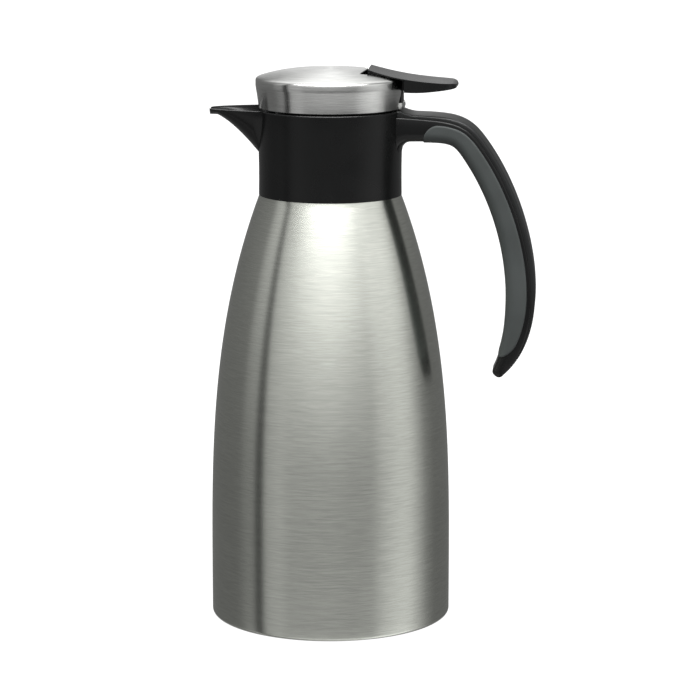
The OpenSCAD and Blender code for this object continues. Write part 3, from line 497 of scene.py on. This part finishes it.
# Heights over the collar's foot, and how much wider than COLLAR_R the outside is there.
COLLAR_SIDE = [(0, 0.1), (8, 0), (14, 0), (19, 0.08), (25, 0.18), (34, 0.35)]
collar_outline = (
    [(COLLAR_R + wider, COLLAR_Z + height) for height, wider in COLLAR_SIDE]
    + [(RIM_R - 0.05, RIM_Z - 1)]
    + arc(RIM_R - RIM_EDGE, RIM_Z - RIM_EDGE, RIM_EDGE, 0, 90, 5)
    + [(GUTTER_R + 1.2, RIM_Z), (GUTTER_R, RIM_Z - 1.2), (GUTTER_R, GUTTER_Z),
       (THREAD_R, GUTTER_Z), (THREAD_R, THREAD_Z), (CREST_R, THREAD_Z), (CREST_R, LEDGE_Z),
       (BORE_R, LEDGE_Z), (BORE_R, COLLAR_Z + 4.6), (NECK_FOOT, COLLAR_Z + 3.5),
       (SHOULDER_R - BEND_R, COLLAR_Z + 2.6)]
    + arc(SHOULDER_R - BEND_R, SHOULDER_Z, BEND_R + 0.1, 80, 15, 4))
collar = new_object("collar_skin", spun(collar_outline))
print("collar", 2 * COLLAR_R, "mm wide")

# %% [markdown]
# The spout is a swept trough: its sections are wide and deep at the collar and end in a
# narrow lip. Modelling both as closed shapes and joining them with a Boolean gives the
# crisp crease between them. A second trough, thinner by the wall, is then taken out for
# the channel.

# %% Shape the spout
TIP_X, SPOUT_W, TIP_W, SPOUT_WALL = 60.6, 34.0, 7.0, 1.7
SPOUT_START, UNDER, SPOUT_DEPTH, TIP_H, FLOOR_DROP = 30.0, 1.8, 22.2, 3.2, 1.5
BOTTOM_BOW, FLOOR_BOW, SECTION_BOW = 1.5, 1.3, 1.15   # 1 would be straight, or a half circle


def spout_share(x):
    """0 at the collar and 1 at the lip."""
    return max(0.0, min(1.0, (x - COLLAR_R) / (TIP_X - COLLAR_R)))


def spout_half(x):
    return TIP_W / 2 + (SPOUT_W - TIP_W) / 2 * math.sqrt(1 - spout_share(x))


def spout_bottom(x):
    return min(RIM_Z - TIP_H,
               RIM_Z - UNDER - (SPOUT_DEPTH - UNDER) * (1 - spout_share(x)) ** BOTTOM_BOW)


def spout_floor(x):
    top = RIM_Z - FLOOR_DROP
    return top - (top - GUTTER_Z - 0.4) * (1 - spout_share(x)) ** FLOOR_BOW


def trough(x, half, bottom, top, count=36):
    """Ring of a trough: under from one side to the other, and straight back over the top."""
    turns = [math.pi * i / count for i in range(count + 1)]
    under = [(-x, half * math.cos(a), RIM_Z - (RIM_Z - bottom) * math.sin(a) ** SECTION_BOW)
             for a in turns]
    over = [(-x, half * (-1 + 2 * i / 8), top) for i in range(9)]
    return under + (over[1:-1] if top == RIM_Z else over)

# %% [markdown]
# The trough starts inside the collar. What would fill the collar there is taken away
# with a plug whose edge lies within the collar's wall, and then the two are joined. The
# same kind of plug trims the handle later.

# %% Join the spout to the collar
PLUG_LOW, PLUG_HIGH = 200, 300
OVER_RIM, PAST_TIP = 6, 1            # so that the channel cuts right through


def plug(r):
    """A cylinder that fills the middle of the collar up to a radius."""
    outline = [(0, PLUG_LOW), (r, PLUG_LOW), (r, PLUG_HIGH), (0, PLUG_HIGH)]
    return new_object("plug", spun(outline, 96))


stations = [TIP_X - (TIP_X - SPOUT_START) * (i / 40) ** 1.6 for i in range(41)]
spout = new_object("spout_body", skinned(
    [trough(x, spout_half(x), spout_bottom(x), RIM_Z) for x in stations]))
joined(spout, plug(COLLAR_R - 1), "DIFFERENCE")
channel = new_object("spout_channel", skinned(
    [trough(x, spout_half(x) - SPOUT_WALL, spout_floor(x), RIM_Z + OVER_RIM)
     for x in [TIP_X + PAST_TIP] + stations]))
joined(collar, spout, "UNION")
joined(collar, channel, "DIFFERENCE")
print("spout reaches", TIP_X, "mm")

# %% [markdown]
# The thread has four short ridges, each a bit of a helix, so that the lid goes home in
# half a turn. A ridge is a skin through small square rings. Its foot is sunk a little
# into the wall of the bore, so no gap shows, and its closed mesh is simply added to the
# collar's, which is quicker than a Boolean.

# %% Set the thread into the collar
THREAD_STARTS, LEAD, RIDGE_ANGLE, RIDGE_T = 4, 16.0, 80.0, 1.5
RIDGE_Z, RIDGE_SUNK = THREAD_Z + 2.6, 0.4


def thread_ridge(start, height, inner, outer, count=16):
    """One ridge on the thread's helix, from a start angle in degrees."""
    rings = []
    for i in range(count + 1):
        angle = math.radians(start + RIDGE_ANGLE * i / count)
        z = height + LEAD * RIDGE_ANGLE / FULL_TURN * i / count
        c, s = math.cos(angle), math.sin(angle)
        rings.append([(inner * c, inner * s, z), (outer * c, outer * s, z),
                      (outer * c, outer * s, z + RIDGE_T), (inner * c, inner * s, z + RIDGE_T)])
    return skinned(rings)


def add_to(piece, mesh):
    """Adds a closed shape to an object's mesh."""
    settle(mesh)
    extra = bpy.data.meshes.new("extra")
    mesh.to_mesh(extra)
    mesh.free()
    whole = bmesh.new()
    whole.from_mesh(piece.data)
    whole.from_mesh(extra)
    whole.to_mesh(piece.data)
    whole.free()
    bpy.data.meshes.remove(extra)


for k in range(THREAD_STARTS):
    start = FULL_TURN / THREAD_STARTS * k
    add_to(collar, thread_ridge(start, RIDGE_Z, CREST_R, THREAD_R + RIDGE_SUNK))
rounded_edges(collar, 0.35)
dress(collar, "flask", "collar", "black_plastic")

# %% [markdown]
# ## The handle
# The handle leaves the collar level, turns at a knee and sweeps down in a long bow to a
# free end. Its middle line is two Bezier curves that meet at the knee with the same
# direction, and everything on the handle is placed by its station on that line.

# %% The handle's middle line
HANDLE_T, HALF_W, EDGE_R = 14.5, 13.0, 4.5
ROOT = Vector((COLLAR_R, 251.6))
KNEE, KNEE_DIR = Vector((75.6, 237.1)), Vector((0.55, -0.835))
END, END_DIR = Vector((85.9, 128.4)), Vector((-0.592, -0.806))
# The pulls are the lengths of the curves' handles, as shares of the two spans.
BEND_SPAN, FALL_SPAN = KNEE.x - ROOT.x, KNEE.y - END.y
ROOT_PULL, BEND_PULL, FALL_PULL, END_PULL = 0.71, 0.442, 0.355, 0.302
UPPER = [ROOT, ROOT + Vector((ROOT_PULL * BEND_SPAN, 0)),
         KNEE - BEND_PULL * BEND_SPAN * KNEE_DIR, KNEE]
LOWER = [KNEE, KNEE + FALL_PULL * FALL_SPAN * KNEE_DIR,
         END - END_PULL * FALL_SPAN * END_DIR, END]
TIP_LEN = 0.24 * HANDLE_T


def bezier(p, t):
    return ((1 - t) ** 3 * p[0] + 3 * t * (1 - t) ** 2 * p[1]
            + 3 * t * t * (1 - t) * p[2] + t ** 3 * p[3])


def bezier_dir(p, t):
    return ((1 - t) ** 2 * (p[1] - p[0]) + 2 * t * (1 - t) * (p[2] - p[1])
            + t * t * (p[3] - p[2])).normalized()


def handle_at(s):
    """Point and direction of the middle line: 0 is the root, 1 the knee, 2 the end, 3 the tip."""
    if s <= 1:
        return bezier(UPPER, s), bezier_dir(UPPER, s)
    if s <= 2:
        return bezier(LOWER, s - 1), bezier_dir(LOWER, s - 1)
    return END + END_DIR * TIP_LEN * (s - 2), bezier_dir(LOWER, 1)


print("handle from", tuple(ROOT), "to", tuple(END))

# %% [markdown]
# The handle isn't equally thick all along. It swells a little at the root and again
# below the knee, and narrows towards the end. Where it meets the collar, a fillet hangs
# under it and its top runs up to the rim. Small functions of the station say all this.

# %% The handle's thickness
# Shares of the full thickness: at the waist, and how much is added or taken elsewhere.
WAIST, AT_ROOT, BELOW_KNEE, AT_END = 0.87, 0.07, 0.13, 3.7
NARROW_FROM = 1.6
COVER_T, COVER_END = 2.4, 1.9
FILLET = 6.1                         # radius under the handle at the collar
ROOT_LIFT, LIFT_LENGTH = 1.9, 8.0    # how far its top runs up there, and over what length


def narrowing(s):
    return max(0.0, min(s, 2) - NARROW_FROM)


def handle_half(s):
    """Half the handle's thickness."""
    thick_root = max(0.0, 1 - max(0.0, s) / 0.6) ** 2
    rising = (max(0.0, min(s, 1.5)) / 1.5) ** 2.2
    return HANDLE_T / 2 * (WAIST + AT_ROOT * thick_root + BELOW_KNEE * rising
                           - AT_END * narrowing(s) ** 2)


def cover_at(s):
    """Thickness of the back cover."""
    if s > COVER_END:
        return 0.0
    thin_root = max(0.0, 1 - max(0.0, s) / 0.7) ** 2
    thin_end = (max(0.0, s - 1.4) / 0.5) ** 2
    return COVER_T * (1 - 0.5 * thin_root - 0.75 * thin_end)


def root_lift(s):
    """How much the top rises where the handle meets the collar."""
    way = handle_at(s)[0].x - COLLAR_R
    return ROOT_LIFT * min(1.0, max(0.0, 1 - way / LIFT_LENGTH)) ** 2


def root_fillet(s, y):
    """How much deeper the underside is there, at distance y from the middle plane."""
    wall = math.sqrt(COLLAR_R ** 2 - y ** 2) + 0.15
    way = min(FILLET, max(0.0, handle_at(s)[0].x - wall))
    return FILLET - math.sqrt(FILLET ** 2 - (FILLET - way) ** 2)


print("thickness at the knee", round(2 * handle_half(1), 2), "mm")

# %% [markdown]
# A frame runs the whole way. A satin cover lies on its back, and a soft grip wraps its
# inside and sides, with a thin black band between the two. Each is a skin through rings
# that stand square on the middle line. The frame comes first. Its sections have round
# edges inside, and its last rings shrink into a blunt tip.

# %% Sweep the frame
ROOT_START, NEAR_SPAN, NEAR_END, FAR_SPAN = -0.06, 0.17, 0.11, 1.89
EDGE_ROUND, END_ROUND = 0.8, 1.6     # edges beside the back cover, and past its end
COVER_GAP = 0.03


def handle_ring(s, section):
    """A ring from section points: y across the handle, n outwards from the middle line."""
    at, along = handle_at(s)
    f = 1.0 if s <= 2 else math.sqrt(max(0.004, 1 - (s - 2) ** 2))
    w = (1 - 1.5 * narrowing(s) ** 2) * (0.3 + 0.7 * f)
    return [(at.x - along.y * n * f, y * w, at.y + along.x * n * f) for y, n in section]


def swept(name, section, stations, sharp=35):
    return new_object(name, skinned([handle_ring(s, section(s)) for s in stations]), sharp)


def mirrored(half):
    return half + [(-y, n) for y, n in reversed(half)]


def frame_section(s):
    h = handle_half(s)
    top = h - cover_at(s) - COVER_GAP
    e = END_ROUND if s > COVER_END else EDGE_ROUND
    half = (arc(HALF_W - e, top - e, e, 90, 0, 4) + [(HALF_W, (top - h + EDGE_R) / 2)]
            + arc(HALF_W - EDGE_R, EDGE_R - h, EDGE_R, 0, -90, 8) + [(HALF_W / 4, -h)])
    return mirrored([(y, n - root_fillet(s, y) * max(0.0, EDGE_R - h - n) / EDGE_R)
                     for y, n in half])


# The rings stand closest at the collar and at the tip, where the shape changes fastest.
NEAR_ROOT = [ROOT_START + NEAR_SPAN * i / 34 for i in range(34)]
ALONG = [NEAR_END + FAR_SPAN * i / 90 for i in range(91)]
COVER_STEP = [1.899, 1.903]
TIP = [2.08, 2.14, 2.2, 2.4, 2.55, 2.7, 2.8, 2.88, 2.94, 2.98, 3]
handle = swept("handle_frame_skin", frame_section, NEAR_ROOT + sorted(ALONG + COVER_STEP + TIP))
joined(handle, plug(COLLAR_R - 0.6), "DIFFERENCE")
rounded_edges(handle, 0.2, 60)
dress(handle, "flask", "handle_frame", "black_plastic")

# %% [markdown]
# The back cover is a thin shell that follows the handle's top and outer side. It starts
# at the collar's rim, gets thinner to both ends and stops short of the tip. It is a
# little narrower than the frame, so a fine step runs along each side.

# %% Sweep the back cover
COVER_INSET = 1.0


def cover_section(s):
    h, c = handle_half(s), cover_at(s)
    r, top, side = min(1.4, 0.6 * c), h + root_lift(s), HALF_W - COVER_INSET
    return mirrored([(side, h - c)] + arc(side - r, top - r, r, 0, 90, 6)
                    + [(HALF_W / 3, top)])


cover_stations = [NEAR_END + (COVER_END - 0.112) * i / 90 for i in range(91)]
cover = swept("back_cover_skin", cover_section, NEAR_ROOT + cover_stations)
joined(cover, plug(COLLAR_R), "DIFFERENCE")
dress(cover, "flask", "handle_back_cover", "satin_cover")

# %% [markdown]
# The grip is a soft layer on the frame. Its outline is long with oval ends, so at each
# station it reaches a certain way round the frame's section, more in the middle and less
# near the ends. Its surface stands half a millimetre proud and dives into the frame at
# the edge, which gives the soft lip of an overmoulded grip.

# %% Shape the grip
GRIP_FROM, GRIP_TO, GRIP_PROUD, BAND_W = 0.155, 1.93, 0.5, 1.8
START_LEN, END_LEN = 0.14, 0.10        # stations over which the grip's ends round off
UPPER_SCALE, LOWER_SCALE = 63.0, 98.0  # millimetres per station near the two ends
LIP_W, LIP_SUNK, CORE_SUNK = 0.9, 0.3, 1.1
FLAT = HALF_W - EDGE_R
CORNER = EDGE_R * math.pi / 2


def grip_reach(s):
    """How far the grip wraps round at a station, from the middle of the inside."""
    h = handle_half(s)
    band = h - COVER_T - BAND_W
    share = min(1.0, max(0.0, (s - GRIP_FROM) / START_LEN), max(0.0, (GRIP_TO - s) / END_LEN))
    n = -h + (band + h) * math.sqrt(1 - (1 - share) ** 2)
    if n + h < EDGE_R:
        return FLAT + EDGE_R * math.acos(1 - (n + h) / EDGE_R)
    return FLAT + CORNER + n + h - EDGE_R


def grip_point(s, q, lift):
    """Point of the frame at distance q round from the inside's middle, lifted off it."""
    h, side, q = handle_half(s), math.copysign(1, q), abs(q)
    if q < FLAT:
        return side * q, -h - lift
    bend = (q - FLAT) / EDGE_R
    if bend < math.pi / 2:
        return (side * (FLAT + (EDGE_R + lift) * math.sin(bend)),
                -h + EDGE_R - (EDGE_R + lift) * math.cos(bend))
    return side * (HALF_W + lift), -h + EDGE_R + q - FLAT - CORNER


def grip_section(s, count=44):
    reach = grip_reach(s)
    to_end = min((s - GRIP_FROM) * UPPER_SCALE, (GRIP_TO - s) * LOWER_SCALE)
    outer = []
    for i in range(count + 1):
        t = math.sin(math.pi * (i / count - 0.5))
        edge = min(reach * (1 - abs(t)), to_end, LIP_W) / LIP_W
        lift = -LIP_SUNK + (LIP_SUNK + GRIP_PROUD) * math.sqrt(1 - (1 - edge) ** 2)
        outer.append(grip_point(s, reach * t, lift))
    return outer + [grip_point(s, reach * (1 - 2 * i / 12), -CORE_SUNK) for i in range(13)]


print("grip over", round(GRIP_TO - GRIP_FROM, 3), "stations")

# %% [markdown]
# The two ends round off within a few millimetres, so the rings stand close together
# there and further apart between them.

# %% Sweep the grip
grip_stations = [GRIP_FROM + (GRIP_TO - GRIP_FROM) * i / 100 for i in range(101)]
grip_stations += [GRIP_FROM + d for d in (0.002, 0.005, 0.009, 0.013)]
grip_stations += [GRIP_TO - d for d in (0.002, 0.004, 0.007, 0.011)]
grip = swept("grip_skin", grip_section, sorted(grip_stations), 50)
dress(grip, "flask", "handle_grip", "soft_grip")

# %% [markdown]
# ## The lid's cap
# A thin steel cap covers the lid. Its side leans out a little, turns over a tight
# shoulder and closes in a flat dome. It is spun with its real thickness, as the shell is.

# %% Spin the cap
CAP_Z, CAP_TOP, CAP_R, CAP_WIDE, CAP_T = 261.2, 280.6, 36.0, 37.5, 0.6
CAP_WIDE_Z, DOME_H, SHOULDER_ROUND = CAP_Z + 10.8, 4.2, 1.7
DOME_EDGE = CAP_WIDE - 1.5
SIDE_BOW, DOME_BOW = 1.15, 2.75      # how late the side leans out, and the dome falls off


def cap_outline(inset, side_steps=16, dome_steps=40):
    side = []
    for i in range(side_steps + 1):
        share = i / side_steps
        side.append((CAP_R + (CAP_WIDE - CAP_R) * share ** SIDE_BOW - inset,
                     CAP_Z + (CAP_WIDE_Z - CAP_Z) * share))
    dome = []
    for i in range(dome_steps + 1):
        r = (DOME_EDGE - 0.2) * (1 - i / dome_steps)
        dome.append((r, CAP_TOP - DOME_H * (r / DOME_EDGE) ** DOME_BOW - inset))
    return (side + [(CAP_WIDE - inset, CAP_WIDE_Z + 1.2), (CAP_WIDE - inset, CAP_WIDE_Z + 2.3)]
            + arc(CAP_WIDE - SHOULDER_ROUND, CAP_WIDE_Z + 2.6, SHOULDER_ROUND - inset, 10, 75, 8)
            + dome)


cap = new_object("cap_skin", spun(cap_outline(0) + cap_outline(CAP_T)[::-1]), 30)
print("cap", 2 * CAP_WIDE, "mm wide")

# %% [markdown]
# The band under the lever's slot swells out a little at the back. A short ring is swept
# round there and joined to the cap. It gets flatter towards both of its ends, so that it
# runs out into the side without a step.

# %% Swell the band under the slot
SLOT_W, SLOT_Z = 16.2, 264.2
SWELL_HALF, SWELL_FULL, SWELL_SUNK = 16, 11, 0.3   # degrees, degrees, millimetres
SWELL = [(CAP_R - 0.4, CAP_Z), (CAP_R + 1.6, CAP_Z + 0.2), (CAP_R + 1.9, CAP_Z + 1.4),
         (CAP_R + 1.6, SLOT_Z - 0.1), (CAP_R - 0.2, SLOT_Z - 0.1)]


def swell_ring(angle):
    out = 1 - max(0.0, (abs(angle) - SWELL_FULL) / (SWELL_HALF - SWELL_FULL)) ** 2
    c, s = math.cos(math.radians(angle)), math.sin(math.radians(angle))
    radii = [CAP_R - SWELL_SUNK + (r - CAP_R + SWELL_SUNK) * out for r, z in SWELL]
    return [(r * c, r * s, z) for r, (_, z) in zip(radii, SWELL)]


swelling = new_object("swelling", skinned(
    [swell_ring(angle) for angle in range(-SWELL_HALF, SWELL_HALF + 1)]))
joined(cap, swelling, "UNION")
print("swelling over", 2 * SWELL_HALF, "degrees")

# %% [markdown]
# The opening for the lever is cut out of the dome and the slot out of the back of the
# side. Each cutter is a flat plan that is extruded upwards. The opening's plan is the
# lever's own with room around it, so that the lever seems to float in the dome.

# %% Cut the opening for the lever
NOSE_X, NOSE_W, PIVOT_X = 19.7, 27.6, 32.0
REAR = CAP_WIDE - 0.8
OVER, BEYOND = 300, 60               # a height and a distance outside the cap


def prism(name, plan, low, high):
    """A flat plan of (x, y) drawn upwards from one height to another."""
    mesh = bmesh.new()
    face = mesh.faces.new([mesh.verts.new((x * MM, y * MM, low * MM)) for x, y in plan])
    up_faces = bmesh.ops.extrude_face_region(mesh, geom=[face])["geom"]
    bmesh.ops.translate(mesh, vec=(0, 0, (high - low) * MM),
                        verts=[g for g in up_faces if isinstance(g, bmesh.types.BMVert)])
    return new_object(name, mesh)


edge = [(NOSE_X - 3.3, NOSE_W / 2 + 3.6), (PIVOT_X - 0.5, NOSE_W / 2 + 0.2),
        (REAR, NOSE_W / 2 - 2.4), (REAR, SLOT_W / 2), (REAR + 9.3, SLOT_W / 2)]
plan = [(NOSE_X - 1.1, 0)] + edge + [(x, -y) for x, y in reversed(edge)]
joined(cap, prism("opening", plan, CAP_TOP - DOME_H - 1.1, OVER), "DIFFERENCE")
plan = [(PIVOT_X - 8, -SLOT_W / 2), (BEYOND, -SLOT_W / 2), (BEYOND, SLOT_W / 2),
        (PIVOT_X - 8, SLOT_W / 2)]
joined(cap, prism("slot", plan, SLOT_Z, OVER), "DIFFERENCE")
dress(cap, "lid", "lid_cap", "brushed_steel", cap_steel)

# %% [markdown]
# ## The lever
# The lever is a flat black paddle. Its front lies in the dome, and its tail stands out
# over the handle for the thumb. The CAD solid already has this shape, so a copy of it is
# merged, its flat faces are tidied, and its edges get the small round of a moulding.

# %% Round the lever's edges
lever_mesh = bmesh.new()
lever_mesh.from_mesh(frame["nodes"]["lever"].data)
bmesh.ops.remove_doubles(lever_mesh, verts=lever_mesh.verts, dist=1e-6)
bmesh.ops.dissolve_limit(lever_mesh, angle_limit=math.radians(1), verts=lever_mesh.verts,
                         edges=lever_mesh.edges)
lever = new_object("lever_skin", lever_mesh)
rounded_edges(lever, 0.55, 35, 3)
dress(lever, "lever", "lever", "black_plastic")

# %% [markdown]
# ## The valve's spring
# The spring stands between the valve and the deck of the stopper. Its wire is round, with half a
# turn lying flat at each end. When the lever lifts the valve, the spring shortens towards the
# deck.

# %% Wind the spring
SPRING_Z, SPRING_TOP, SPRING_D, WIRE, COILS = 234.1, 256.9, 15.2, 1.2, 7


def spring_rings(per_turn=32, around=12):
    low, span, flat = SPRING_Z + WIRE / 2, SPRING_TOP - SPRING_Z - WIRE, 0.5 / COILS
    section = arc(SPRING_D / 2, 0, WIRE / 2, 0, FULL_TURN, around)[:-1]
    rings = []
    for i in range(COILS * per_turn + 1):
        share = i / (COILS * per_turn)
        z = low + span * min(1.0, max(0.0, (share - flat) / (1 - 2 * flat)))
        angle = 2 * math.pi * COILS * share
        rings.append([(r * math.cos(angle), r * math.sin(angle), z + h) for r, h in section])
    return rings


spring = new_object("spring_skin", skinned(spring_rings()))
dress(spring, "lid", "valve_spring", "pin_steel")
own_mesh(spring)
